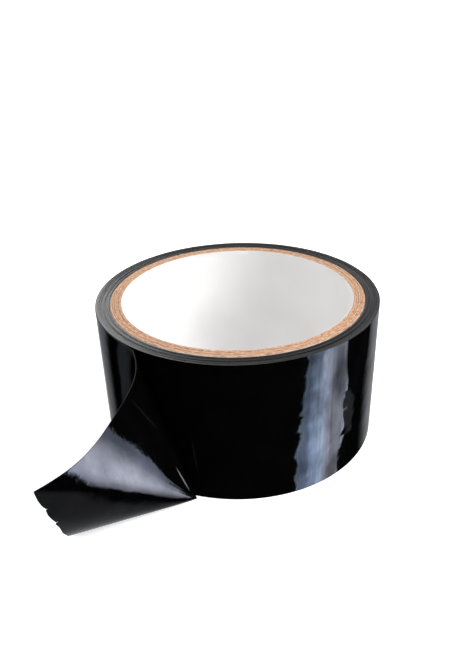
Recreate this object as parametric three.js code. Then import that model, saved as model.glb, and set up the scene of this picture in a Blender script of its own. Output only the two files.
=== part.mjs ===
// Roll of glossy black duct tape: a paper core, the wound tape, and a tail that has been peeled off
// the front and curls away. Millimetres, +Z up, the roll stands on one of its flat sides.
import * as THREE from 'three';

// Driving dimensions ---------------------------------------------------------------------------

const CORE_INNER_RADIUS = 38.1;   // 3 inch core
const CORE_OUTER_RADIUS = 42.0;
const LINER_THICKNESS = 0.4;      // white paper inside the core
const WRAP_THICKNESS = 0.25;      // white paper round the outside of the core
const PLY_COUNT = 5;              // layers of brown board between the two papers

const ROLL_RADIUS = 46.65;
const TAPE_WIDTH = 47.75;         // 1.88 inch tape
const TAPE_PITCH = 0.25;          // from one turn of tape to the next
const TURN_GROUP_COUNT = 6;       // the wound tape is cut into this many rings
const TELESCOPING = [0.12, 0.3, 0.18, 0.36, 0.24, 0.1]; // how far each ring's edge sits back

const GAP = 0.03;                 // clear space between faces that touch
const FILM_THICKNESS = 0.15;      // glossy backing film of the tape
const ADHESIVE_THICKNESS = 0.05;
const FACETS = 80;                // sides of every round piece

const LOOSE_START = -166.5;       // where the loose end of the tape can be lifted from, in degrees
const SEAM_TOP = { azimuth: -129.4, lift: 0.4, drop: 0.35 };  // upper end of the peel line
const SEAM_FOOT = { azimuth: -106.6, lift: 1.6, rise: 0.6 };  // lower end of the peel line

const TAIL_LENGTH = 38.3;         // along the lower edge, from the peel line to the cut end
const TAIL_LEAVES_AT = 35;        // degrees between the tail and the roll at the peel line
// How sharply the tail bends from one straight line of its fan to the next, evenly spaced across it.
const TAIL_BENDS = [-0.9, -2.2, 0.1, -3.05, -0.05, -1.25, -1.2, -6.2];
const TAIL_FOLD = 14;             // the fan angle at which the tail's end folds, in degrees
const FAN_CLEARANCE = 2.0;        // the tail starts this far from the foot of the peel line
const HINGE_GAP = 0.3;

// Places worked out from the dimensions --------------------------------------------------------

const FACET_ANGLE = 360 / FACETS;
const TAPE_THICKNESS = TAPE_PITCH - GAP;
const WOUND_INNER_RADIUS = CORE_OUTER_RADIUS + GAP;

function polar(azimuth, radius, z = 0) {
  const angle = THREE.MathUtils.degToRad(azimuth);
  return new THREE.Vector3(radius * Math.cos(angle), radius * Math.sin(angle), z);
}

const seamTop = polar(SEAM_TOP.azimuth, ROLL_RADIUS + SEAM_TOP.lift, TAPE_WIDTH - SEAM_TOP.drop);
const seamFoot = polar(SEAM_FOOT.azimuth, ROLL_RADIUS + SEAM_FOOT.lift, SEAM_FOOT.rise);

// Outer radius of the tape after winding on by some degrees, clockwise from the front.
function windingRadius(degrees) {
  return ROLL_RADIUS - TAPE_PITCH * degrees / 360;
}

const LOOSE_WINDING = SEAM_FOOT.azimuth - LOOSE_START;

// Materials ------------------------------------------------------------------------------------

function material(color, roughness) {
  return new THREE.MeshStandardMaterial({ color, roughness, metalness: 0 });
}

const whitePaper = () => material(0xf2f0ee, 0.8);
const brownBoard = () => material(0xc8a082, 0.9);
const blackFilm = () => material(0x0a0a0c, 0.15);
const blackAdhesive = () => material(0x121214, 0.3);

// Solids ---------------------------------------------------------------------------------------

function ring(inner, outer, bottom, top) {
  const profile = [
    new THREE.Vector2(inner, bottom),
    new THREE.Vector2(outer, bottom),
    new THREE.Vector2(outer, top),
    new THREE.Vector2(inner, top),
    new THREE.Vector2(inner, bottom),
  ];
  return new THREE.LatheGeometry(profile, FACETS).rotateX(Math.PI / 2);
}

// Points of one turn of the spiral, starting at the loose end and running clockwise.
function spiralTurn(firstWinding, inset) {
  const points = [];
  for (let step = 0; step <= FACETS; step += 1) {
    const turned = step * FACET_ANGLE;
    const point = polar(LOOSE_START - turned, windingRadius(firstWinding + turned) - inset);
    points.push(new THREE.Vector2(point.x, point.y));
  }
  return points;
}

function extrudeUp(shape, bottom, top) {
  const options = { depth: top - bottom, bevelEnabled: false };
  return new THREE.ExtrudeGeometry(shape, options).translate(0, 0, bottom);
}

function circlePath(radius) {
  const points = [];
  for (let step = 0; step < FACETS; step += 1) {
    const point = polar(step * FACET_ANGLE, radius);
    points.push(new THREE.Vector2(point.x, point.y));
  }
  return new THREE.Path(points);
}

// A closed thin solid between two grids of points: surface(u, v, side) with side 0 in, 1 out.
function sheetSolid(surface, uSteps, vSteps) {
  const positions = [];
  const index = [];
  const at = (side, i, j) => (side * (uSteps + 1) + i) * (vSteps + 1) + j;
  for (let side = 0; side <= 1; side += 1) {
    for (let i = 0; i <= uSteps; i += 1) {
      for (let j = 0; j <= vSteps; j += 1) {
        positions.push(...surface(i / uSteps, j / vSteps, side).toArray());
      }
    }
  }
  const quad = (a, b, c, d) => index.push(a, b, c, a, c, d);
  for (let i = 0; i < uSteps; i += 1) {
    for (let j = 0; j < vSteps; j += 1) {
      quad(at(1, i, j), at(1, i + 1, j), at(1, i + 1, j + 1), at(1, i, j + 1));
      quad(at(0, i, j), at(0, i, j + 1), at(0, i + 1, j + 1), at(0, i + 1, j));
    }
    quad(at(0, i, 0), at(0, i + 1, 0), at(1, i + 1, 0), at(1, i, 0));
    quad(at(0, i, vSteps), at(1, i, vSteps), at(1, i + 1, vSteps), at(0, i + 1, vSteps));
  }
  for (let j = 0; j < vSteps; j += 1) {
    quad(at(0, 0, j), at(1, 0, j), at(1, 0, j + 1), at(0, 0, j + 1));
    quad(at(0, uSteps, j), at(0, uSteps, j + 1), at(1, uSteps, j + 1), at(1, uSteps, j));
  }
  const geometry = new THREE.BufferGeometry();
  geometry.setAttribute('position', new THREE.Float32BufferAttribute(positions, 3));
  geometry.setIndex(index);
  return geometry;
}

// The laminate: adhesive on the inner side of the tape, backing film on the outer side. Each layer
// runs between two depths, measured inwards from the outer face of the tape.
const FILM_LAYER = [0, FILM_THICKNESS];
const ADHESIVE_LAYER = [TAPE_THICKNESS - ADHESIVE_THICKNESS, TAPE_THICKNESS];

// The loose part of the last turn, still on the roll, from its start to the slanted peel line.
function looseTurn(layer) {
  const edgeAt = (z) => {
    const along = THREE.MathUtils.clamp((z - seamFoot.z) / (seamTop.z - seamFoot.z), 0, 1);
    return seamFoot.clone().lerp(seamTop, along);
  };
  const surface = (u, v, side) => {
    const z = TAPE_WIDTH * v;
    const edge = edgeAt(z);
    const edgeRadius = Math.hypot(edge.x, edge.y);
    const hingeAngle = THREE.MathUtils.radToDeg(HINGE_GAP / edgeRadius);
    const edgeAzimuth = THREE.MathUtils.radToDeg(Math.atan2(edge.y, edge.x)) - hingeAngle;
    const azimuth = THREE.MathUtils.lerp(LOOSE_START + hingeAngle, edgeAzimuth, u);
    const onRoll = windingRadius(SEAM_FOOT.azimuth - azimuth);
    const radius = THREE.MathUtils.lerp(onRoll, edgeRadius + TAPE_THICKNESS / 2, u ** 4);
    return polar(azimuth, radius - layer[1 - side], z);
  };
  return sheetSolid(surface, 30, 8);
}

// The peeled tail is a flat strip bent into a fan of straight lines that all meet at the foot of
// the peel line. Each line has a direction and the tape's outward normal there.
function tailFan() {
  const firstAngle = -Math.acos(TAPE_WIDTH / seamTop.distanceTo(seamFoot));
  const lastAngle = Math.PI / 2;
  const steps = 240;
  const step = (lastAngle - firstAngle) / steps;
  const direction = seamTop.clone().sub(seamFoot).normalize();
  const tangent = new THREE.Vector3(-seamTop.y, seamTop.x, 0);
  tangent.addScaledVector(direction, -tangent.dot(direction)).normalize();
  const outward = tangent.clone().cross(direction);
  const leaving = THREE.MathUtils.degToRad(TAIL_LEAVES_AT);
  const heading = tangent.clone().multiplyScalar(Math.cos(leaving));
  heading.addScaledVector(outward, Math.sin(leaving));
  const lines = [];
  for (let i = 0; i <= steps; i += 1) {
    const normal = heading.clone().cross(direction);
    lines.push({ angle: firstAngle + i * step, direction: direction.clone(), normal });
    const place = (i + 0.5) / steps * (TAIL_BENDS.length - 1);
    const before = Math.floor(place);
    const bend = THREE.MathUtils.lerp(TAIL_BENDS[before], TAIL_BENDS[before + 1], place - before);
    const axis = direction.clone().multiplyScalar(bend).sub(normal);
    const turn = axis.length() * step;
    axis.normalize();
    direction.applyAxisAngle(axis, turn);
    heading.applyAxisAngle(axis, turn);
  }
  return lines;
}

const fan = tailFan();

function fanLine(angle) {
  const first = fan[0].angle;
  const last = fan[fan.length - 1].angle;
  const place = THREE.MathUtils.clamp((angle - first) / (last - first), 0, 1) * (fan.length - 1);
  const before = Math.min(Math.floor(place), fan.length - 2);
  const mix = place - before;
  const direction = fan[before].direction.clone().lerp(fan[before + 1].direction, mix).normalize();
  const normal = fan[before].normal.clone().lerp(fan[before + 1].normal, mix).normalize();
  return { direction, normal };
}

// Distance from the foot of the peel line to the edge of the strip at a fan angle.
function reach(angle) {
  const toUpperEdge = TAPE_WIDTH / Math.max(Math.cos(angle), 1e-6);
  const toCutEnd = TAIL_LENGTH / Math.max(Math.sin(angle), 1e-6);
  return angle <= 0 ? toUpperEdge : Math.min(toUpperEdge, toCutEnd);
}

// One layer of the tail between two fan angles. Each side can stand back from its line by a gap.
function tailSheet(from, to, layer, uSteps) {
  const surface = (u, v, side) => {
    const nominal = THREE.MathUtils.lerp(from.angle, to.angle, u);
    const distance = THREE.MathUtils.lerp(FAN_CLEARANCE, reach(nominal), v);
    const start = from.angle + from.gap / distance;
    const end = to.angle - to.gap / distance;
    const line = fanLine(THREE.MathUtils.lerp(start, end, u));
    const depth = TAPE_THICKNESS / 2 - layer[1 - side];
    return seamFoot.clone().addScaledVector(line.direction, distance).addScaledVector(line.normal, depth);
  };
  return sheetSolid(surface, uSteps, 6);
}

// Parts ----------------------------------------------------------------------------------------

const roll = new THREE.Group();

function addPart(name, geometry, partMaterial) {
  const mesh = new THREE.Mesh(geometry, partMaterial);
  mesh.name = name;
  roll.add(mesh);
}

function addCore() {
  const linerOuter = CORE_INNER_RADIUS + LINER_THICKNESS;
  const wrapInner = CORE_OUTER_RADIUS - WRAP_THICKNESS;
  const plyPitch = (wrapInner - linerOuter) / PLY_COUNT;
  addPart('core_liner', ring(CORE_INNER_RADIUS, linerOuter - GAP, 0, TAPE_WIDTH), whitePaper());
  for (let ply = 0; ply < PLY_COUNT; ply += 1) {
    const inner = linerOuter + ply * plyPitch;
    addPart(`core_ply_${ply + 1}`, ring(inner, inner + plyPitch - GAP, 0, TAPE_WIDTH), brownBoard());
  }
  addPart('core_wrap', ring(wrapInner, CORE_OUTER_RADIUS, 0, TAPE_WIDTH), whitePaper());
}

function addWoundTape() {
  const lastWinding = LOOSE_WINDING + 360;
  const woundOuter = windingRadius(lastWinding + 360);
  const pitch = (woundOuter - WOUND_INNER_RADIUS) / TURN_GROUP_COUNT;
  for (let group = 0; group < TURN_GROUP_COUNT - 1; group += 1) {
    const inner = WOUND_INNER_RADIUS + group * pitch;
    const top = TAPE_WIDTH - TELESCOPING[group];
    addPart(`tape_turns_${group + 1}`, ring(inner, inner + pitch - GAP, 0, top), blackFilm());
  }
  const lastGroup = new THREE.Shape(spiralTurn(lastWinding, GAP));
  lastGroup.holes.push(circlePath(woundOuter - pitch));
  const lastTop = TAPE_WIDTH - TELESCOPING[TURN_GROUP_COUNT - 1];
  addPart(`tape_turns_${TURN_GROUP_COUNT}`, extrudeUp(lastGroup, 0, lastTop), blackFilm());

  const outside = spiralTurn(LOOSE_WINDING, 0);
  const inside = spiralTurn(LOOSE_WINDING, TAPE_THICKNESS).reverse();
  addPart('outer_turn', extrudeUp(new THREE.Shape([...outside, ...inside]), 0, TAPE_WIDTH), blackFilm());
}

function addLooseEnd() {
  addPart('loose_turn_film', looseTurn(FILM_LAYER), blackFilm());
  addPart('loose_turn_adhesive', looseTurn(ADHESIVE_LAYER), blackAdhesive());
  const seam = { angle: fan[0].angle, gap: 0 };
  const fold = { angle: THREE.MathUtils.degToRad(TAIL_FOLD), gap: HINGE_GAP / 2 };
  const lowerEdge = { angle: Math.PI / 2, gap: 0 };
  addPart('tail_root_film', tailSheet(seam, fold, FILM_LAYER, 12), blackFilm());
  addPart('tail_root_adhesive', tailSheet(seam, fold, ADHESIVE_LAYER, 12), blackAdhesive());
  addPart('tail_end_film', tailSheet(fold, lowerEdge, FILM_LAYER, 24), blackFilm());
  addPart('tail_end_adhesive', tailSheet(fold, lowerEdge, ADHESIVE_LAYER, 24), blackAdhesive());
}

addCore();
addWoundTape();
addLooseEnd();

// The origin is the middle of the rectangle that the whole part covers on the floor.
const extent = new THREE.Box3().setFromObject(roll);
const middle = extent.getCenter(new THREE.Vector3());
roll.position.set(-middle.x, -middle.y, -extent.min.z);

const group = new THREE.Group();
group.add(roll);

export default group;
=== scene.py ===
"""Duct tape roll: the looks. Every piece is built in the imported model's frame, in metres, and rides
on one of its bodies. Sizes below are in millimetres and are turned into metres where meshes are made."""

import math

import bpy
import numpy as np
from mathutils import Matrix, Vector, noise


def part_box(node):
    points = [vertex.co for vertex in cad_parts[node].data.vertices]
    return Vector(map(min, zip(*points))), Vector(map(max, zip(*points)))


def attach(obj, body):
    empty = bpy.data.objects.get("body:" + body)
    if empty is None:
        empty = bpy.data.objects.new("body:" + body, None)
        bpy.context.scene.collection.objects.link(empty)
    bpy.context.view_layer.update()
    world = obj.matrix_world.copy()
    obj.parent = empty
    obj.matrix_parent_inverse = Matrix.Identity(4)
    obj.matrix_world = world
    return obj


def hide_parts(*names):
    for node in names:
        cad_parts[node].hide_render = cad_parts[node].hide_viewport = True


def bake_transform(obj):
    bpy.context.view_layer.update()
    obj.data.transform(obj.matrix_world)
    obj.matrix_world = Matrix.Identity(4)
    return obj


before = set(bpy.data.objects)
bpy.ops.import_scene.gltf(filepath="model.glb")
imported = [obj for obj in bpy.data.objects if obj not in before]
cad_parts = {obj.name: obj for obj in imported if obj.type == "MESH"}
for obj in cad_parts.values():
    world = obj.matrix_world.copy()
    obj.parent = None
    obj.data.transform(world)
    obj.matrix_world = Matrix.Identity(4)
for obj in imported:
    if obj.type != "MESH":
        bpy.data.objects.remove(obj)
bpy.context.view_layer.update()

MM = 0.001

# The roll, as the CAD has it ------------------------------------------------------------------

liner_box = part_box("core_liner")
wrap_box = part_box("core_wrap")
AXIS_X = (liner_box[0][0] + liner_box[1][0]) / 2 / MM
AXIS_Y = (liner_box[0][1] + liner_box[1][1]) / 2 / MM
TAPE_WIDTH = liner_box[1][2] / MM
LINER_THICKNESS = 0.37            # the CAD's paper, less its clearance
LINER_EDGE = 0.14                 # the paper as it shows at the rim
CORE_INNER = (liner_box[1][0] - liner_box[0][0]) / 2 / MM - LINER_THICKNESS
CORE_OUTER = (wrap_box[1][0] - wrap_box[0][0]) / 2 / MM
ROLL_RADIUS = 46.65
TAPE_PITCH = 0.25
TAPE_THICKNESS = 0.22
TURNS_PER_GROUP = 3
GROUPS = 6
PLIES = 5
CLEARANCE = 0.03                  # between one ring of the wound tape and the next
STEPS = 480                       # points round every ring
round_steps = np.linspace(0, 360, STEPS, endpoint=False)

# Where the last turn comes loose, and the fan of straight lines that its peeled tail follows.
LOOSE_START = -166.5
SEAM_TOP_AZIMUTH, SEAM_TOP_LIFT, SEAM_TOP_DROP = -129.4, 0.4, 0.35
SEAM_FOOT_AZIMUTH, SEAM_FOOT_LIFT, SEAM_FOOT_RISE = -106.6, 1.6, 0.6
LOOSE_WINDING = SEAM_FOOT_AZIMUTH - LOOSE_START
TAIL_LENGTH = 38.3
TAIL_LEAVES_AT = 35.0
TAIL_BENDS = [-0.9, -2.2, 0.1, -3.05, -0.05, -1.25, -1.2, -6.2]
TAIL_FOLD = math.radians(14)
PIECE_LINE = math.radians(4)      # fan line where one piece of the tail meets the next


def winding_radius(degrees):
    """Outer radius of the tape after winding on by some degrees from the foot of the peel line."""
    return ROLL_RADIUS - TAPE_PITCH * degrees / 360


def on_axis(azimuth, radius, z):
    """Points about the roll's own axis, in millimetres; arrays are welcome."""
    a = np.radians(azimuth)
    return np.stack([radius * np.cos(a), radius * np.sin(a), z + 0 * a], -1)


def in_frame(point):
    """A point about the roll's own axis, in millimetres, as a vector in the frame, in metres."""
    return Vector(np.add(point, (AXIS_X, AXIS_Y, 0))) * MM


# Meshes ---------------------------------------------------------------------------------------

SHARP_ANGLE = math.radians(35)    # edges that turn more than this are shaded sharp


def smooth_noise(points, wavelength, seed=0):
    """Smooth noise, about -1 to 1, at points in millimetres."""
    flat = np.asarray(points, float).reshape(-1, 3) / wavelength
    shift = Vector((seed * 17.3, seed * 5.1, seed * 9.7))
    values = [noise.noise(Vector(p) + shift) for p in flat]
    return np.array(values).reshape(np.asarray(points).shape[:-1])


def mesh_object(name, points, faces, uvs, second_from=None):
    """An object from points in millimetres about the roll's axis. Faces from second_from on use
    the second material."""
    mesh = bpy.data.meshes.new(name)
    moved = (np.asarray(points).reshape(-1, 3) + (AXIS_X, AXIS_Y, 0)) * MM
    mesh.from_pydata(moved.tolist(), [], [list(f) for f in faces])
    layer = mesh.uv_layers.new(name="strip")
    corner = np.empty(len(mesh.loops), np.int32)
    mesh.loops.foreach_get("vertex_index", corner)
    layer.data.foreach_set("uv", np.asarray(uvs, np.float32).reshape(-1, 2)[corner].ravel())
    mesh.polygons.foreach_set("use_smooth", [True] * len(mesh.polygons))
    if second_from is not None:
        index = [int(number >= second_from) for number in range(len(mesh.polygons))]
        mesh.polygons.foreach_set("material_index", index)
    mesh.set_sharp_from_angle(angle=SHARP_ANGLE)
    mesh.update()
    made = bpy.data.objects.new(name, mesh)
    bpy.context.scene.collection.objects.link(made)
    return made


def ring_object(name, sections, uv_radial=True):
    """Closed rings. Each section is an array of shape (steps, corners, 3): a closed outline that
    goes round the axis. The first and last steps join."""
    points, faces, uvs = [], [], []
    base = 0
    for section in sections:
        steps, corners, _ = section.shape
        points.append(section.reshape(-1, 3))
        angle = np.linspace(0, 2 * math.pi, steps, endpoint=False)[:, None] + np.zeros(corners)
        up = np.hypot(section[..., 0], section[..., 1]) if uv_radial else section[..., 2]
        uvs.append(np.stack([angle * CORE_OUTER, up], -1).reshape(-1, 2))
        i, j = np.meshgrid(np.arange(steps), np.arange(corners), indexing="ij")
        after, beside = (i + 1) % steps, (j + 1) % corners
        quad = [i * corners + j, after * corners + j, after * corners + beside, i * corners + beside]
        faces.append(base + np.stack(quad, -1).reshape(-1, 4))
        base += steps * corners
    return mesh_object(name, np.concatenate(points), np.concatenate(faces), np.concatenate(uvs))


def ring_section(inner, outer, top, bevel, across, wall_rows=0):
    """A ring's outline at every step round the axis: up the outside, over the rounded top edge and
    down the inside. inner, outer and top are arrays with one value per step."""
    turns = [0, math.pi / 4, math.pi / 2]
    rows = [(outer, 0 * top)]
    for turn in turns:
        rows.append((outer - bevel * (1 - math.cos(turn)), top - bevel * (1 - math.sin(turn))))
    for k in range(1, across):
        rows.append((outer - bevel + (inner - outer + 2 * bevel) * k / across, top))
    for turn in reversed(turns):
        rows.append((inner + bevel * (1 - math.cos(turn)), top - bevel * (1 - math.sin(turn))))
    for k in range(1, wall_rows):
        rows.append((inner, (top - bevel) * (1 - k / wall_rows)))
    rows.append((inner, 0 * top))
    return np.stack([on_axis(round_steps, radius, z) for radius, z in rows], 1)


def thick_sheet(name, points, normals, uvs, faces, outer, inner):
    """A thin closed solid from one open sheet: its faces at two depths along the normals, and a
    wall along every free edge."""
    count = len(points)
    both = np.concatenate([points + normals * outer, points + normals * inner])
    edges = {}
    for face in faces:
        for a, b in zip(face, np.roll(face, -1)):
            edges[(int(a), int(b))] = edges.get((int(a), int(b)), 0) + 1
    walls = [(b, a, a + count, b + count) for (a, b) in edges if (b, a) not in edges]
    back = [tuple(int(v) + count for v in face[::-1]) for face in faces]
    solid = [tuple(int(v) for v in face) for face in faces] + back + walls
    return mesh_object(name, both, solid, np.concatenate([uvs, uvs]), len(solid) - len(walls))


# Waviness of the glossy film ------------------------------------------------------------------

# Each wrinkle is a low ridge in the film: azimuth and height of its two ends, how high and wide.
WRINKLES = [
    ((-45.5, 17.0), (-61.0, 10.2), 0.045, 1.2),
    ((-43.0, 29.5), (-50.5, 31.0), 0.05, 1.0),
    ((-50.0, 31.5), (-47.0, 14.5), 0.05, 1.3),
    ((-62.0, 31.0), (-50.0, 33.5), 0.03, 1.6),
    ((20.0, 12.0), (38.0, 22.0), 0.04, 1.4),
    ((128.0, 35.0), (150.0, 24.0), 0.04, 1.6),
]


def film_wave(points):
    """How far the film stands proud, in millimetres, at points about the roll's axis."""
    wave = 0.055 * smooth_noise(points * (1.0, 1.0, 1.2), 8.0, 1)
    wave += 0.045 * np.abs(smooth_noise(points * (0.8, 0.8, 1.1), 7.0, 4))
    wave += 0.016 * smooth_noise(points, 3.4, 2)
    wave += 0.004 * smooth_noise(points, 1.7, 3)
    return wave


def wrinkle_height(azimuth, z):
    """How much the wrinkles add to that, in millimetres."""
    total = np.zeros(np.broadcast(azimuth, z).shape)
    for (az0, z0), (az1, z1), height, width in WRINKLES:
        scale = math.radians(1) * ROLL_RADIUS
        along = np.array([(az1 - az0) * scale, z1 - z0])
        length = np.hypot(*along)
        along /= length
        dx = ((azimuth - az0 + 180) % 360 - 180) * scale
        dz = z - z0
        forward = (dx * along[0] + dz * along[1]) / length
        aside = dx * along[1] - dz * along[0]
        taper = np.clip(1 - np.abs(forward * 2 - 1), 0, 1) ** 0.5
        inside = (forward > 0) & (forward < 1)
        total += np.where(inside, height * taper * np.exp(-((aside / width) ** 2)), 0)
    return total


# The fan of the tail --------------------------------------------------------------------------

seam_top = on_axis(SEAM_TOP_AZIMUTH, ROLL_RADIUS + SEAM_TOP_LIFT, TAPE_WIDTH - SEAM_TOP_DROP)
seam_foot = on_axis(SEAM_FOOT_AZIMUTH, ROLL_RADIUS + SEAM_FOOT_LIFT, SEAM_FOOT_RISE)
SEAM_ANGLE = -math.acos(TAPE_WIDTH / np.linalg.norm(seam_top - seam_foot))


def tail_fan(steps=480):
    """Directions of the straight lines through the foot of the peel line, by fan angle."""
    step = (math.pi / 2 - SEAM_ANGLE) / steps
    direction = Vector(seam_top - seam_foot).normalized()
    tangent = Vector((-seam_top[1], seam_top[0], 0))
    tangent = (tangent - direction * tangent.dot(direction)).normalized()
    outward = tangent.cross(direction)
    leaving = math.radians(TAIL_LEAVES_AT)
    heading = tangent * math.cos(leaving) + outward * math.sin(leaving)
    angles, directions = [], []
    for i in range(steps + 1):
        angles.append(SEAM_ANGLE + i * step)
        directions.append(tuple(direction))
        normal = heading.cross(direction)
        place = (i + 0.5) / steps * (len(TAIL_BENDS) - 1)
        before = min(int(place), len(TAIL_BENDS) - 2)
        bend = TAIL_BENDS[before] + (TAIL_BENDS[before + 1] - TAIL_BENDS[before]) * (place - before)
        axis = direction * bend - normal
        turn = Matrix.Rotation(axis.length * step, 3, axis.normalized())
        direction, heading = turn @ direction, turn @ heading
    return np.array(angles), np.array(directions)


fan_angles, fan_directions = tail_fan()


def fan_direction(angle):
    """Direction of the fan's line at an angle in radians; arrays are welcome."""
    found = np.stack([np.interp(angle, fan_angles, fan_directions[:, k]) for k in range(3)], -1)
    return found / np.linalg.norm(found, axis=-1, keepdims=True)


def fan_point(s, t):
    """Where a point of the flat strip lies: s along the tape from the foot, t up from its edge."""
    angle = np.clip(np.arctan2(s, np.maximum(t, 1e-9)), SEAM_ANGLE, math.pi / 2)
    return seam_foot + fan_direction(angle) * np.hypot(s, t)[..., None]


# The loose tape as one sheet, then cut into pieces --------------------------------------------

TEARS = [(29.2, 3.6), (37.8, 2.6)]                   # height and length of each tear in the end
TORN_BACK = ([0, 8, 26, 40], [0.0, 1.0, 0.8, 0.0])   # by height, how much shorter the torn end is
ROW_STEP = 0.6                                       # between rows, up the tape
LOOSE_COLUMNS, ROOT_COLUMNS, END_COLUMNS = 120, 34, 76
LOOSE_CUT = 54                                       # column where the first piece meets the next
TEAR_ASIDE, TEAR_APART = 0.2, 0.11                   # how far a tear's lips part, out of and in the sheet


def cut_end(t):
    """Length of the tape along the strip at height t: a slightly scalloped, torn edge."""
    edges = [0.0] + [height for height, _ in TEARS] + [TAPE_WIDTH]
    span = np.clip(np.searchsorted(edges, t, side="right") - 1, 0, len(edges) - 2)
    low, high = np.array(edges)[span], np.array(edges)[span + 1]
    bulge = np.sin(math.pi * (t - low) / (high - low))
    line = np.stack([t * 0, t, t * 0], -1)
    back = np.interp(t, *TORN_BACK) + 0.3 * (1 - bulge) + 0.25 * span
    return TAIL_LENGTH - back + 0.16 * smooth_noise(line, 1.9, 5)


def strip_rows():
    """Heights of the rows. A tear's row comes twice: once for each of its lips."""
    heights, lips = [], []
    low = 0.0
    for lip, height in enumerate([height for height, _ in TEARS] + [TAPE_WIDTH]):
        count = max(2, round((height - low) / ROW_STEP))
        for k in range(count + 1):
            heights.append(low + (height - low) * k / count)
            lips.append(lip)
        low = height
    return np.array(heights)[:, None], np.array(lips)


def strip_sheet():
    """The loose tape before its film is made wavy: the lip that each row belongs to, flat
    coordinates s and t, and points."""
    t, lips = strip_rows()
    seam_s = t * math.tan(SEAM_ANGLE)
    piece_s = t * math.tan(PIECE_LINE)
    end_s = cut_end(t[:, 0])[:, None]
    root = np.linspace(0, 1, ROOT_COLUMNS + 1)[None, :]
    tip = np.linspace(0, 1, END_COLUMNS + 1)[None, 1:]
    tail_s = np.concatenate([seam_s + (piece_s - seam_s) * root, piece_s + (end_s - piece_s) * tip], 1)
    tail = fan_point(tail_s, np.broadcast_to(t, tail_s.shape))

    seam = tail[:, :1]
    seam_azimuth = np.degrees(np.arctan2(seam[..., 1], seam[..., 0]))
    seam_radius = np.hypot(seam[..., 0], seam[..., 1])
    u = np.linspace(0, 1, LOOSE_COLUMNS + 1)[None, :-1]
    azimuth = LOOSE_START + (seam_azimuth - LOOSE_START) * u
    on_roll = winding_radius(SEAM_FOOT_AZIMUTH - azimuth) - TAPE_THICKNESS / 2
    radius = on_roll + (seam_radius - on_roll) * u**4
    height = t + (seam[..., 2] - t) * u**4
    loose = on_axis(azimuth, radius, height)
    loose_s = seam_s - (seam_azimuth - azimuth) * math.radians(1) * ROLL_RADIUS

    points = np.concatenate([loose, tail], 1)
    s = np.concatenate([loose_s, tail_s], 1)
    first, last = LOOSE_COLUMNS - 6, LOOSE_COLUMNS + 6
    for _ in range(6):                # rounds the bend at the peel line
        points[:, first:last] = (
            points[:, first - 1 : last - 1] + 2 * points[:, first:last] + points[:, first + 1 : last + 1]
        ) / 4
    return lips, s, np.broadcast_to(t, s.shape), points


def sheet_normals(points):
    """Normals of a grid of points. Where a row shrinks to a point it takes the next row's."""
    along = np.gradient(points, axis=1)
    up = np.gradient(points, axis=0)
    normals = np.cross(along, up)
    size = np.linalg.norm(normals, axis=-1, keepdims=True)
    for row in range(len(points) - 2, -1, -1):
        poor = size[row, :, 0] < 1e-5
        normals[row, poor] = normals[row + 1, poor]
        size[row, poor] = size[row + 1, poor]
    return normals / np.maximum(size, 1e-9)


def open_tears(lips, s, t, points, normals):
    """Each tear's two lips part towards the cut end: one stands up a little, the other drops."""
    up = np.zeros_like(points)
    up[..., 2] = 1
    up -= normals * (up * normals).sum(-1, keepdims=True)
    for number, (height, length) in enumerate(TEARS):
        start = TAIL_LENGTH - length
        share = np.clip((s - start) / length, 0, 1)
        near = np.exp(-np.abs(t - height) / 1.8)
        side = np.where(lips[:, None] <= number, -1.0, 1.0)
        points += normals * (side * TEAR_ASIDE * share**1.5 * near)[..., None]
        points += up * (side * TEAR_APART * share * np.exp(-np.abs(t - height) / 0.7))[..., None]
    return points


def early_bend(s, t):
    """Close to the foot of the peel line the tail turns down a little sooner than its fan does."""
    angle, reach = np.degrees(np.arctan2(s, np.maximum(t, 1e-9))), np.hypot(s, t)
    turned = np.clip((angle - 8) / 18, 0, 1)
    turned = turned * turned * (3 - 2 * turned)
    return -0.016 * reach * turned * np.exp(-((reach / 15) ** 2))


def wavy_strip():
    """The loose tape as it shows: that sheet with the film's waves, the early bend and open tears."""
    lips, s, t, points = strip_sheet()
    normals = sheet_normals(points)
    from_edge = np.clip(t / 3.0, 0, 1)
    from_foot = np.clip((np.hypot(s, t) - 4) / 24, 0, 1)
    lift = film_wave(points) * from_edge * 0.7 * np.where(s > 0, from_foot, 1.0) + early_bend(s, t)
    points = open_tears(lips, s, t, points + normals * lift[..., None], normals)
    normals = sheet_normals(points)
    for tear, (_, length) in enumerate(TEARS):
        upper = int(np.argmax(lips == tear + 1))
        shared = s[upper] < TAIL_LENGTH - length
        mean = (normals[upper] + normals[upper - 1]) / 2
        mean /= np.linalg.norm(mean, axis=-1, keepdims=True)
        normals[upper - 1, shared] = mean[shared]
        normals[upper, shared] = mean[shared]
    return lips, s, t, points, normals


strip_lips, strip_s, strip_t, strip_points, strip_normals = wavy_strip()


def strip_piece(name, first, last, outer, inner):
    """One piece of the loose tape, from one column to another, between two depths."""
    columns = last - first + 1
    keep = {}
    index = np.empty((len(strip_lips), columns), int)
    kept = []
    for i in range(len(strip_lips)):
        for j in range(columns):
            place = tuple(np.round(strip_points[i, first + j], 5))
            if place not in keep:
                keep[place] = len(kept)
                kept.append((i, first + j))
            index[i, j] = keep[place]
    faces = []
    for i in range(len(strip_lips) - 1):
        if strip_lips[i] != strip_lips[i + 1]:
            continue
        for j in range(columns - 1):
            corners = [index[i, j], index[i, j + 1], index[i + 1, j + 1], index[i + 1, j]]
            face = [c for k, c in enumerate(corners) if c != corners[k - 1]]
            if len(set(face)) >= 3:
                faces.append(np.array(face))
    at = tuple(np.array(kept).T)
    uvs = np.stack([strip_s[at], strip_t[at]], -1)
    return thick_sheet(name, strip_points[at], strip_normals[at], uvs, faces, outer, inner)


# Materials ------------------------------------------------------------------------------------

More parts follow.
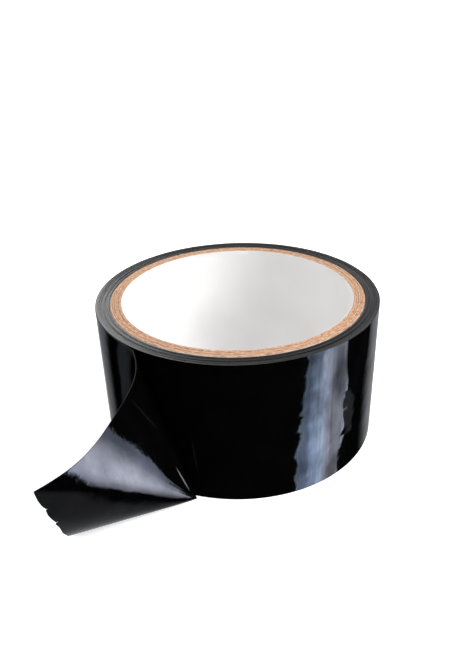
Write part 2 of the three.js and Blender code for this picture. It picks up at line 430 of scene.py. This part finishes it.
# Painted shade and glints: centre and size, both along and up it, turn in degrees, and strength.
# Shade patches take gloss away, as painted shade that darkens the mirrored streak, and also have how
# soft they are. Glint lines are painted glints: thin pale lines in the colour. The last shade patch
# of the roll ends the bright streak where the tape turns away.
ROLL_SHADE_PATCHES = [
    ((-335.0, 22.0), (5.4, 60.0), 0, 0.74, 0.6),
    ((-333.8, 37.0), (4.2, 13.0), 0, 0.7, 0.6),
    ((-336.0, 3.0), (5.4, 7.5), -20, 0.62, 0.6),
    ((-345.5, 42.0), (7.5, 11.0), 0, 0.5, 0.6),
    ((-345.0, 33.5), (4.5, 3.0), 15, 0.4, 0.6),
    ((-343.5, 26.0), (3.5, 2.0), 15, 0.2, 0.6),
    ((-325.4, 46.0), (7.2, 22.0), 0, 1.0, 0.12),
]
TAIL_SHADE_PATCHES = [((5.0, 6.0), (19.0, 26.0), 0, 0.55, 0.6), ((15.5, 43.0), (8.0, 11.0), 0, 0.3, 0.6)]
# Painted glints: pale lines in the adhesive side's colour, where creases would catch the light.
TAIL_GLINT_LINES = [((1.1, 10.7), (6.0, 0.34), 90, 0.1), ((1.2, 38.0), (9.5, 0.3), 78.5, 0.004)]


class NodeTree:
    """Adds nodes to the tree of a material or of the world."""

    def __init__(self, tree):
        self.nodes = tree.nodes
        self.links = tree.links

    def add(self, kind, **values):
        node = self.nodes.new(kind)
        for key, value in values.items():
            setattr(node, key, value)
        return node

    def link(self, source, target):
        self.links.new(source, target)

    def colours(self, source, stops):
        node = self.add("ShaderNodeValToRGB")
        elements = node.color_ramp.elements
        while len(elements) < len(stops):
            elements.new(0.5)
        for element, (position, colour) in zip(elements, stops):
            element.position = position
            element.color = (*colour, 1)
        self.link(source, node.inputs["Fac"])
        return node.outputs["Color"]


class Shader(NodeTree):
    """One material. Its uv is in millimetres along and up the tape, or round the roll and outwards."""

    def __init__(self, name):
        self.material = bpy.data.materials.new(name)
        self.material.use_nodes = True
        super().__init__(self.material.node_tree)
        self.bsdf = self.nodes["Principled BSDF"]
        self.uv = self.add("ShaderNodeUVMap", uv_map="strip").outputs[0]
        self.place = self.add("ShaderNodeTexCoord").outputs["Object"]

    def noise(self, source, scale, detail=2.0, roughness=0.5):
        """Noise of a point; scale is a vector of repeats per unit."""
        mapping = self.add("ShaderNodeMapping")
        mapping.inputs["Scale"].default_value = scale
        self.link(source, mapping.inputs["Vector"])
        texture = self.add("ShaderNodeTexNoise")
        texture.inputs["Scale"].default_value = 1.0
        texture.inputs["Detail"].default_value = detail
        texture.inputs["Roughness"].default_value = roughness
        self.link(mapping.outputs[0], texture.inputs["Vector"])
        return texture.outputs["Fac"]

    def ramp(self, source, low, high, start=0.3, end=0.7):
        node = self.add("ShaderNodeMapRange")
        ends = {"From Min": start, "From Max": end, "To Min": low, "To Max": high}
        for name, number in ends.items():
            node.inputs[name].default_value = number
        self.link(source, node.inputs["Value"])
        return node.outputs["Result"]

    def times(self, first, second):
        node = self.add("ShaderNodeMath", operation="MULTIPLY")
        self.link(first, node.inputs[0])
        self.link(second, node.inputs[1])
        return node.outputs[0]

    def bump(self, layers):
        """Bumps one over the other: (height source, distance in metres)."""
        normal = None
        for source, distance in layers:
            node = self.add("ShaderNodeBump")
            node.inputs["Distance"].default_value = distance
            self.link(source, node.inputs["Height"])
            if normal is not None:
                self.link(normal, node.inputs["Normal"])
            normal = node.outputs["Normal"]
        self.link(normal, self.bsdf.inputs["Normal"])


def soft_oval(shader, centre, size, turn):
    """A soft oval on the tape, for the painted shade patches and glints: 1 at its middle, 0 at its edge."""
    mapping = shader.add("ShaderNodeMapping", vector_type="TEXTURE")
    mapping.inputs["Location"].default_value = (*centre, 0)
    mapping.inputs["Rotation"].default_value = (0, 0, math.radians(turn))
    mapping.inputs["Scale"].default_value = (*size, 1)
    shader.link(shader.uv, mapping.inputs["Vector"])
    blob = shader.add("ShaderNodeTexGradient", gradient_type="SPHERICAL")
    shader.link(mapping.outputs[0], blob.inputs["Vector"])
    return blob.outputs["Fac"]


def gloss_shaded(shader, gloss, shade_patches):
    """The same gloss, lowered in patches: painted shade on the mirrored light."""
    for centre, size, turn, strength, soft in shade_patches:
        blob = soft_oval(shader, centre, size, turn)
        gloss = shader.times(gloss, shader.ramp(blob, 1.0, 1 - strength, 0.0, soft))
    return gloss


def with_painted_glints(shader, tint, glint_lines):
    """The same colour, paler along thin lines: painted glints where creases catch the light."""
    for centre, size, turn, strength in glint_lines:
        glint_mix = shader.add("ShaderNodeMix", data_type="RGBA", blend_type="ADD")
        line = shader.ramp(soft_oval(shader, centre, size, turn), 0.0, strength, 0.0, 0.5)
        shader.link(line, glint_mix.inputs["Factor"])
        shader.link(tint, glint_mix.inputs["A"])
        glint_mix.inputs["B"].default_value = (1, 1, 1, 1)
        tint = glint_mix.outputs["Result"]
    return tint


def film_material(name, gloss, contrast, roughness, ripple, streaks, tint, shade_patches, glint_lines=()):
    """Glossy black plastic: faint smears in its gloss, fine lines across the tape where it was
    drawn off, and small ripples in its surface. ripple is in millimetres; contrast and streaks are
    how much the smears and the lines change the gloss, as shares of it."""
    shader = Shader(name)
    smears = shader.noise(shader.uv, (0.2, 0.09, 1), 4, 0.55)
    lines = shader.noise(shader.uv, (1.3, 0.035, 1), 3, 0.6)
    black = shader.colours(smears, [(0.3, (0.0004, 0.0004, 0.0005)), (0.8, (0.0012, 0.0012, 0.0014))])
    # Painted glints: pale lines added to the colour.
    shader.link(with_painted_glints(shader, black, glint_lines), shader.bsdf.inputs["Base Color"])
    rough = shader.ramp(smears, roughness * 0.7, roughness * 1.5)
    shader.link(rough, shader.bsdf.inputs["Roughness"])
    lined = shader.ramp(lines, 1 - streaks, 1 + streaks)
    smeared = shader.ramp(smears, gloss * (1 - contrast), gloss * (1 + contrast), 0.36, 0.62)
    # Painted shade: the gloss is lowered in patches to darken the mirrored light there.
    shine = gloss_shaded(shader, shader.times(lined, smeared), shade_patches)
    shader.link(shine, shader.bsdf.inputs["Specular IOR Level"])
    shader.bsdf.inputs["Specular Tint"].default_value = (*tint, 1)
    wide = shader.noise(shader.uv, (0.8, 0.8, 1), 3)
    fine = shader.noise(shader.uv, (2.6, 2.6, 1), 2)
    shader.bump([(lines, streaks * 0.006 * MM), (wide, ripple * MM), (fine, ripple * 0.25 * MM)])
    return shader.material


def edge_material(name, low, high, gloss, roughness):
    """The cut side of the tape: dark grey, with a fine line for every turn."""
    shader = Shader(name)
    turns = shader.noise(shader.uv, (0.02, 2.2, 1), 3, 0.65)
    patches = shader.noise(shader.uv, (0.09, 0.9, 1), 2)
    tint = shader.colours(turns, [(0.32, (low, low, low)), (0.68, (high, high * 0.97, high))])
    shader.link(tint, shader.bsdf.inputs["Base Color"])
    rough = shader.ramp(patches, roughness * 0.75, roughness * 1.25)
    shader.link(rough, shader.bsdf.inputs["Roughness"])
    shine = shader.ramp(turns, gloss * 0.4, gloss * 1.5)
    shader.link(shine, shader.bsdf.inputs["Specular IOR Level"])
    shader.bump([(turns, 0.04 * MM)])
    return shader.material


def board_material():
    """Brown board seen on its cut edge: fibres that run round the core, and specks."""
    shader = Shader("brown board")
    fibres = shader.noise(shader.uv, (0.55, 2.2, 1), 4, 0.7)
    specks = shader.noise(shader.uv, (1.7, 2.4, 1), 3, 0.6)
    browns = [(0.3, (0.2, 0.1, 0.055)), (0.5, (0.43, 0.255, 0.16)), (0.72, (0.68, 0.47, 0.33))]
    speckled = shader.colours(specks, [(0.36, (0.45, 0.36, 0.3)), (0.52, (1, 1, 1))])
    spotted = shader.add("ShaderNodeMix", data_type="RGBA", blend_type="MULTIPLY")
    spotted.inputs["Factor"].default_value = 0.5
    shader.link(shader.colours(fibres, browns), spotted.inputs["A"])
    shader.link(speckled, spotted.inputs["B"])
    shader.link(spotted.outputs["Result"], shader.bsdf.inputs["Base Color"])
    shader.bsdf.inputs["Roughness"].default_value = 0.85
    shader.bump([(fibres, 0.12 * MM), (specks, 0.06 * MM)])
    return shader.material


def paper_material():
    """Smooth white paper with a very faint cloudiness."""
    shader = Shader("white paper")
    clouds = shader.noise(shader.place, (60, 60, 60), 3)
    grain = shader.noise(shader.place, (900, 900, 900), 3)
    tint = shader.colours(clouds, [(0.3, (0.64, 0.63, 0.622)), (0.7, (0.68, 0.672, 0.665))])
    shader.link(tint, shader.bsdf.inputs["Base Color"])
    shader.link(shader.ramp(grain, 0.5, 0.62), shader.bsdf.inputs["Roughness"])
    shader.bump([(grain, 0.02 * MM)])
    return shader.material


# Both films carry painted shade patches in their gloss; the adhesive side also carries painted glints.
film = film_material(
    "backing film", gloss=0.5, contrast=0.35, roughness=0.04, ripple=0.011, streaks=0.25,
    tint=(0.86, 0.94, 1.0), shade_patches=ROLL_SHADE_PATCHES,
)
sticky = film_material(
    "adhesive side", gloss=0.68, contrast=0.15, roughness=0.03, ripple=0.019, streaks=0.05,
    tint=(0.93, 0.97, 1.0), shade_patches=TAIL_SHADE_PATCHES, glint_lines=TAIL_GLINT_LINES,
)
edge = edge_material("wound edge", low=0.002, high=0.03, gloss=0.6, roughness=0.28)
cut = edge_material("cut edge", low=0.01, high=0.02, gloss=0.06, roughness=0.6)
board = board_material()
paper = paper_material()

# Pieces ---------------------------------------------------------------------------------------

PLY_DROPS = (0.0, 0.13, 0.02, 0.11, 0.04)   # how far each ply's edge sits below the first's
PLY_WIDTH = 0.6                             # how much of each outer ply is made, from its outside in
LINER_WALL_ROWS = 24


def around(amplitude, wavelength, seed):
    """One smooth random value per step round the roll."""
    return amplitude * smooth_noise(on_axis(round_steps, 45.0, 0.0), wavelength, seed)


def finish_piece(piece, material, slot, body, *nodes):
    """Gives a piece its finish and its body (None leaves it unattached, for a piece that would bend between
    two), and hides the CAD nodes it stands for.
    """
    piece.data.materials.append(material)
    if body:
        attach(piece, body)
    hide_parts(*nodes)


def build_core():
    level = np.full(STEPS, TAPE_WIDTH)
    steady = np.zeros(STEPS)
    inner = CORE_INNER + steady
    section = ring_section(inner, inner + LINER_EDGE, level - 0.16, 0.05, 2, LINER_WALL_ROWS)
    wall = section[:, -LINER_WALL_ROWS - 1 :]
    dent = 0.05 * smooth_noise(wall * (1, 1, 0.6), 24.0, 7)
    wall += on_axis(round_steps, 1.0, 0.0)[:, None] * dent[..., None]
    liner = ring_object("liner", [section], uv_radial=False)
    finish_piece(liner, paper, "white_paper", "roll", "core_liner")

    for ply in range(PLIES):
        low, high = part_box(f"core_ply_{ply + 1}")
        ply_outer = (high[0] - low[0]) / 2 / MM
        ply_inner = CORE_INNER + LINER_EDGE + 0.02 if ply == 0 else ply_outer - PLY_WIDTH
        top = level - 0.07 - PLY_DROPS[ply] + around(0.06, 2.2, 11 + ply) + around(0.05, 0.9, 31 + ply)
        section = ring_section(ply_inner + steady, ply_outer + steady, top, 0.1, 3)
        piece = ring_object(f"board_{ply + 1}", [section])
        finish_piece(piece, board, "brown_board", "roll", f"core_ply_{ply + 1}")

    wrap_top = level - 0.3 + around(0.3, 30, 50)
    section = ring_section(CORE_OUTER - 0.22 + steady, CORE_OUTER - 0.12 + steady, wrap_top, 0.04, 2)
    wrap = ring_object("wrap", [section])
    finish_piece(wrap, paper, "white_paper", "roll", "core_wrap")


def build_wound_tape():
    """The turns under the outermost one, in the CAD's rings. Every turn has its own top edge."""
    steady = np.zeros(STEPS)
    inner = CORE_OUTER + CLEARANCE
    for group in range(GROUPS):
        node = f"tape_turns_{group + 1}"
        low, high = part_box(node)
        last_group = group == GROUPS - 1
        group_outer = (high[0] - low[0]) / 2 / MM
        if last_group:
            group_outer = winding_radius(LOOSE_WINDING + 720) - CLEARANCE
        pitch = (group_outer - inner) / TURNS_PER_GROUP
        sections = []
        for turn in range(TURNS_PER_GROUP):
            seed = 60 + group * TURNS_PER_GROUP + turn
            top = high[2] / MM + 0.03 * ((turn * 2) % 3 - 1)
            top = np.minimum(top + around(0.07, 30, seed) + around(0.02, 5, seed + 40), TAPE_WIDTH)
            turn_inner = inner + turn * pitch + steady
            turn_outer = turn_inner + pitch - CLEARANCE / 2
            if last_group and turn == TURNS_PER_GROUP - 1:
                wound = (LOOSE_START - round_steps) % 360
                turn_outer = winding_radius(LOOSE_WINDING + 360 + wound) - CLEARANCE
            sections.append(ring_section(turn_inner, turn_outer, top, 0.05, 2))
        piece = ring_object(f"turns_{group + 1}", sections)
        finish_piece(piece, edge, "wound_tape", "roll", node)
        inner = group_outer + CLEARANCE


def build_outer_turn():
    """The last whole turn. Its outer face is the glossy side of the roll."""
    columns, high = 540, 80
    half = TAPE_THICKNESS / 2
    wound = np.linspace(0, 360, columns + 1)[None, :]
    z = np.linspace(0, TAPE_WIDTH, high + 1)[:, None]
    azimuth = LOOSE_START - wound + 0 * z
    points = on_axis(azimuth, winding_radius(LOOSE_WINDING + wound) - half + 0 * z, z)
    outward = on_axis(azimuth, 1.0, 0.0)
    lift = film_wave(points) + wrinkle_height(azimuth, z)
    under_loose_turn = (wound < LOOSE_WINDING + 8) | (wound > 352)
    lift = np.where(under_loose_turn, np.minimum(lift, 0.0), lift)
    points = (points + outward * lift[..., None]).reshape(-1, 3)
    uvs = np.stack([azimuth * math.radians(1) * ROLL_RADIUS, z + 0 * azimuth], -1).reshape(-1, 2)
    index = np.arange(len(points)).reshape(high + 1, columns + 1)
    corners = [index[:-1, 1:], index[:-1, :-1], index[1:, :-1], index[1:, 1:]]
    faces = np.stack(corners, -1).reshape(-1, 4)
    piece = thick_sheet("outer_film", points, outward.reshape(-1, 3), uvs, faces, half, -half)
    finish_piece(piece, film, "wound_tape", "roll", "outer_turn")
    piece.data.materials.append(edge)


def flat_size(piece):
    """Length and area, in metres, of a piece of the loose tape laid flat."""
    flat = [loop.uv.copy() for loop in piece.data.uv_layers.active.data]
    along = [point.x for point in flat]
    area = 0.0
    for face in piece.data.polygons:
        corners = [flat[i] for i in face.loop_indices]
        turns = sum(a.x * b.y - a.y * b.x for a, b in zip(corners, corners[1:] + corners[:1]))
        area += abs(turns) / 2
    return (max(along) - min(along)) * MM, area / 2 * MM * MM


def build_loose_tape():
    """Backing film and adhesive of the loose tape, each in three pieces, one for each of its bodies, left
    unattached.
    """
    half = TAPE_THICKNESS / 2
    layers = {"film": (half, -0.04, film, "backing_film"), "adhesive": (-0.05, -half, sticky, "adhesive")}
    hinge = in_frame(on_axis(LOOSE_START, ROLL_RADIUS, TAPE_WIDTH / 2))
    tangent = Vector(on_axis(LOOSE_START + 90, 1.0, 0.0))
    middle = in_frame((seam_top + seam_foot) / 2)
    before, after = fan_point(np.array([-2.0, 1.0]), np.array([20.0, 20.0]))
    leaving = Vector(after - before).normalized()
    fold = in_frame(seam_foot + fan_direction(TAIL_FOLD) * 25)
    folding = Vector(fan_direction(TAIL_FOLD + 0.05) - fan_direction(TAIL_FOLD - 0.05)).normalized()
    root_column = LOOSE_COLUMNS + ROOT_COLUMNS
    # By body: the one before it, its columns, where the bend between them starts and ends, how it
    # is held, and what it lies on.
    parts = {
        "loose_turn": ("roll", 0, LOOSE_CUT, hinge, hinge + tangent * 9 * MM, "laid", "outer_turn"),
        "tail_root": (
            "loose_turn", LOOSE_CUT, root_column,
            middle - leaving * 0.5 * MM, middle + leaving * 1.5 * MM, "with_painted_glints", "loose_turn",
        ),
        "tail_end": (
            "tail_root", root_column, root_column + END_COLUMNS,
            fold - folding * 1.5 * MM, fold + folding * 1.5 * MM, "with_painted_glints", "tail_root",
        ),
    }
    for body, (parent, first, stop, start, end, held, support) in parts.items():
        pieces = []
        for layer, (outer, inner, material, slot) in layers.items():
            piece = strip_piece(f"{body}_{layer}_sheet", first, stop, outer, inner)
            finish_piece(piece, material, slot, None, f"{body}_{layer}")
            piece.data.materials.append(cut)
            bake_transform(piece)
            pieces.append(piece)
        length, area = flat_size(pieces[0])


# Camera, floor and light ----------------------------------------------------------------------


CAMERA_FROM_AXIS = (0.0, -192.2, 137.0)   # millimetres from the roll's axis, and above the floor
CAMERA_ASIDE, CAMERA_DOWN, CAMERA_ROLLED = 0.817, 28.325, -1.85   # degrees
LENS, SENSOR = 34.65, 36                  # millimetres
FLOOR_REACH = 45.0                        # metres each way
LIGHTS = [                                # name, place in metres, size in metres, watts
    ("key right", (0.53, -0.13, 0.42), 0.35, 5.8),
    ("fill left", (-0.5, 0.1, 0.45), 0.5, 0.8),
]


def build_camera():
    data = bpy.data.cameras.new("camera")
    data.lens = LENS
    data.sensor_width = SENSOR
    data.clip_start = 0.01
    camera = bpy.data.objects.new("camera", data)
    turn = Matrix.Rotation(math.radians(CAMERA_ASIDE), 4, "Z")
    turn @= Matrix.Rotation(math.radians(90 - CAMERA_DOWN), 4, "X")
    turn @= Matrix.Rotation(math.radians(CAMERA_ROLLED), 4, "Z")
    camera.matrix_world = Matrix.Translation(in_frame(CAMERA_FROM_AXIS)) @ turn
    bpy.context.scene.collection.objects.link(camera)
    bpy.context.scene.camera = camera


def build_floor():
    """A pale floor that gives some light of its own, so that it stays even, and isn't mirrored."""
    mesh = bpy.data.meshes.new("floor")
    corners = [(x * FLOOR_REACH, y * FLOOR_REACH, 0) for x, y in ((-1, -1), (1, -1), (1, 1), (-1, 1))]
    mesh.from_pydata(corners, [], [(0, 1, 2, 3)])
    floor = bpy.data.objects.new("floor", mesh)
    bpy.context.scene.collection.objects.link(floor)
    shader = Shader("floor")
    shader.bsdf.inputs["Base Color"].default_value = (0.9, 0.9, 0.9, 1)
    shader.bsdf.inputs["Roughness"].default_value = 0.9
    shader.bsdf.inputs["Emission Color"].default_value = (1, 1, 1, 1)
    shader.bsdf.inputs["Emission Strength"].default_value = 0.5
    mesh.materials.append(shader.material)
    floor.visible_glossy = False


# What the gloss mirrors, by direction. Angles are in degrees: azimuth from +X towards +Y, elevation
# up from level, and below level too, since the floor isn't mirrored. A step is (from, to, low, high):
# low before from, high after to, and smooth between. Steps in one list are added up.
BOX_LEFT = [(-30, -42, -34.0, -43.0)]                 # azimuth of the soft box's sides, by elevation
BOX_RIGHT = [
    (-39.5, -37, 1.5, 6.8),
    (-34.6, -32.8, 0.0, 2.4),
    (-30.2, -26.6, 0.0, 11.6),
    (-24.4, -18.6, 0.0, -5.4),
]
BOX_FOOT = [(-22, -18, -50.0, -64.5), (-14, 4, 0.0, -4.5)]    # elevation of its foot, by azimuth
BOX_HEAD = (12, 5)
BOX_STRENGTH = 6.0
BOX_SHIFT = [(-38, -22, 0.0, 4.0), (-50, -42, -4.0, 0.0)]     # moves its colours sideways, by elevation
BOX_SPAN = (-45, 25)                                  # azimuths of the first and last colours
BOX_COLOURS = [
    (0.0, (0.18, 0.23, 0.33)),
    (0.171, (0.27, 0.335, 0.48)),
    (0.229, (0.49, 0.61, 0.88)),
    (0.357, (0.64, 0.76, 1.02)),
    (0.486, (0.73, 0.75, 0.92)),
    (0.56, (0.9, 0.92, 1.09)),
    (0.643, (0.77, 0.79, 0.94)),
    (0.757, (0.34, 0.38, 0.49)),
    (0.87, (0.2, 0.24, 0.31)),
    (1.0, (0.16, 0.19, 0.25)),
]
RIM_WIDTH, RIM_STRENGTH = 1.3, 1.6                    # the box's bright outline
BACK_AXIS = (-0.174, 0.985)                           # level direction of the pale card behind
BACK_RISE = (-0.05, 0.61, 0.095, 0.42)                # its brightness, by how far that way
FLOOR_EDGE = [(-18, -11, -70.5, -74.8), (-1, 9, 0.0, 1.6)]    # elevation where it starts, by azimuth
# Plain glows: azimuths, softness, elevations, softness, strength and colour.
GLOWS = [
    ((-18.0, -15.0), 1.5, (-31.8, -26.0), 0.8, 2.6, (1.0, 1.0, 1.0)),
    ((156.0, 170.0), 2.0, (-36.0, -27.0), 2.0, 0.12, (0.8, 0.9, 1.0)),
    ((6.0, 19.0), 1.0, (-37.0, -33.2), 0.6, 0.17, (0.9, 0.95, 1.0)),
    ((100.5, 155.0), 4.0, (10.0, 50.0), 5.0, 3.4, (1.0, 1.0, 1.0)),
]
ABOVE_STRENGTH = 0.15
LAST_MIRRORED_DEPTH = 2.5             # mirror images past the first are left dark


class WorldMap(NodeTree):
    """Paints soft shapes by direction. Values are sockets or plain numbers."""

    def __init__(self):
        world = bpy.data.worlds.new("studio")
        bpy.context.scene.world = world
        world.use_nodes = True
        super().__init__(world.node_tree)
        self.nodes.clear()

    def put(self, value, target):
        if isinstance(value, (int, float)):
            target.default_value = value
        else:
            self.link(value, target)

    def math(self, operation, first, second=0.0):
        node = self.add("ShaderNodeMath", operation=operation)
        self.put(first, node.inputs[0])
        self.put(second, node.inputs[1])
        return node.outputs[0]

    def product(self, first, *others):
        for other in others:
            first = self.math("MULTIPLY", first, other)
        return first

    def ramp(self, value, start, end, low=0.0, high=1.0, shape="SMOOTHSTEP"):
        node = self.add("ShaderNodeMapRange", interpolation_type=shape)
        ends = {"From Min": start, "From Max": end, "To Min": low, "To Max": high}
        for name, number in ends.items():
            self.put(number, node.inputs[name])
        self.link(value, node.inputs["Value"])
        return node.outputs["Result"]

    def steps(self, value, steps):
        total = self.ramp(value, *steps[0])
        for step in steps[1:]:
            total = self.math("ADD", total, self.ramp(value, *step))
        return total

    def band(self, value, start, end, soft):
        rising = self.ramp(value, self.math("SUBTRACT", start, soft), self.math("ADD", start, soft))
        falling = self.ramp(value, self.math("SUBTRACT", end, soft), self.math("ADD", end, soft), 1.0, 0.0)
        return self.product(rising, falling)

    def scaled(self, value, colour):
        node = self.add("ShaderNodeVectorMath", operation="SCALE")
        if isinstance(colour, tuple):
            node.inputs[0].default_value = colour
        else:
            self.link(colour, node.inputs[0])
        self.put(value, node.inputs["Scale"])
        return node.outputs["Vector"]

    def total(self, lights):
        whole = lights[0]
        for light in lights[1:]:
            node = self.add("ShaderNodeVectorMath", operation="ADD")
            self.link(whole, node.inputs[0])
            self.link(light, node.inputs[1])
            whole = node.outputs["Vector"]
        return whole


def soft_box(sky, azimuth, elevation):
    """The bluish box low on the right, and its brighter outline."""
    left = sky.steps(elevation, BOX_LEFT)
    right = sky.steps(elevation, BOX_RIGHT)
    above_foot = sky.math("SUBTRACT", elevation, sky.steps(azimuth, BOX_FOOT))
    box = sky.product(
        sky.band(azimuth, left, right, 0.5), sky.ramp(above_foot, -0.8, 1.6), sky.ramp(elevation, *BOX_HEAD)
    )
    place = sky.math("SUBTRACT", azimuth, sky.steps(elevation, BOX_SHIFT))
    colours = sky.colours(sky.ramp(place, *BOX_SPAN, shape="LINEAR"), BOX_COLOURS)
    low_fade = sky.ramp(elevation, -70, -44, 0.1, 1.0)
    high_fade = sky.ramp(elevation, -32, -18, 1.0, 0.55)
    left_rim = sky.band(azimuth, left, sky.math("ADD", left, RIM_WIDTH), 0.4)
    right_rim = sky.band(azimuth, sky.math("SUBTRACT", right, RIM_WIDTH), right, 0.4)
    rims = sky.product(sky.math("ADD", left_rim, right_rim), box, sky.ramp(elevation, -32, -27, 1.0, 0.25))
    return [
        sky.scaled(sky.product(box, low_fade, high_fade, BOX_STRENGTH), colours),
        sky.scaled(sky.product(rims, RIM_STRENGTH), (0.8, 0.9, 1.0)),
    ]


def back_card(sky, parts, azimuth, elevation):
    """The pale card behind and, nearly straight down, the floor in front of it."""
    along_x = sky.math("MULTIPLY", parts.outputs["X"], BACK_AXIS[0])
    towards_back = sky.math("ADD", sky.math("MULTIPLY", parts.outputs["Y"], BACK_AXIS[1]), along_x)
    rise = sky.ramp(towards_back, *BACK_RISE, shape="LINEAR")
    behind = sky.product(
        sky.ramp(azimuth, 31, 51),
        sky.ramp(azimuth, 112, 126, 1.0, 0.62),
        sky.ramp(azimuth, 130, 145, 1.0, 0.0),
        sky.ramp(elevation, -84, -74),
    )
    above_edge = sky.math("SUBTRACT", elevation, sky.steps(azimuth, FLOOR_EDGE))
    below = sky.ramp(above_edge, 0.8, -2.2)
    return sky.scaled(sky.product(rise, sky.math("MAXIMUM", behind, below)), (0.96, 0.98, 1.03))


def build_world():
    """Soft white light all round. What the gloss mirrors is painted apart: a bluish soft box low on
    the right, a pale card behind, a few plain glows, and black everywhere else."""
    sky = WorldMap()
    parts = sky.add("ShaderNodeSeparateXYZ")
    sky.link(sky.add("ShaderNodeTexCoord").outputs["Generated"], parts.inputs[0])
    turned = sky.math("ARCTAN2", parts.outputs["Y"], parts.outputs["X"])
    azimuth = sky.math("MULTIPLY", turned, math.degrees(1))
    elevation = sky.math("MULTIPLY", sky.math("ARCSINE", parts.outputs["Z"]), math.degrees(1))

    lights = soft_box(sky, azimuth, elevation)
    lights.append(back_card(sky, parts, azimuth, elevation))
    for azimuths, soft, elevations, soft_up, strength, colour in GLOWS:
        spot = sky.product(sky.band(azimuth, *azimuths, soft), sky.band(elevation, *elevations, soft_up))
        lights.append(sky.scaled(sky.product(spot, strength), colour))
    above = sky.product(sky.ramp(elevation, 12, 22), sky.ramp(elevation, 26, 31, 1.0, 0.15), ABOVE_STRENGTH)
    lights.append(sky.scaled(above, (1.0, 1.0, 1.0)))

    path = sky.add("ShaderNodeLightPath")
    mirrored = sky.add("ShaderNodeBackground")
    sky.link(sky.total(lights), mirrored.inputs["Color"])
    early = sky.math("LESS_THAN", path.outputs["Ray Depth"], LAST_MIRRORED_DEPTH)
    sky.link(early, mirrored.inputs["Strength"])
    soft_white = sky.add("ShaderNodeBackground")
    soft_white.inputs["Color"].default_value = (1, 1, 1, 1)
    mix = sky.add("ShaderNodeMixShader")
    sky.link(path.outputs["Is Glossy Ray"], mix.inputs["Fac"])
    sky.link(soft_white.outputs[0], mix.inputs[1])
    sky.link(mirrored.outputs[0], mix.inputs[2])
    sky.link(mix.outputs[0], sky.add("ShaderNodeOutputWorld").inputs["Surface"])


def build_lights():
    """Two soft lamps that the gloss doesn't mirror."""
    middle = Vector((AXIS_X, AXIS_Y, TAPE_WIDTH / 2)) * MM
    for name, place, size, power in LIGHTS:
        data = bpy.data.lights.new(name, "AREA")
        data.size = size
        data.energy = power
        light = bpy.data.objects.new(name, data)
        light.location = place
        light.rotation_euler = (middle - Vector(place)).to_track_quat("-Z", "Y").to_euler()
        light.visible_glossy = False
        bpy.context.scene.collection.objects.link(light)


bpy.context.scene.view_settings.view_transform = "Standard"
build_camera()
build_core()
build_wound_tape()
build_outer_turn()
build_loose_tape()
build_floor()
build_world()
build_lights()
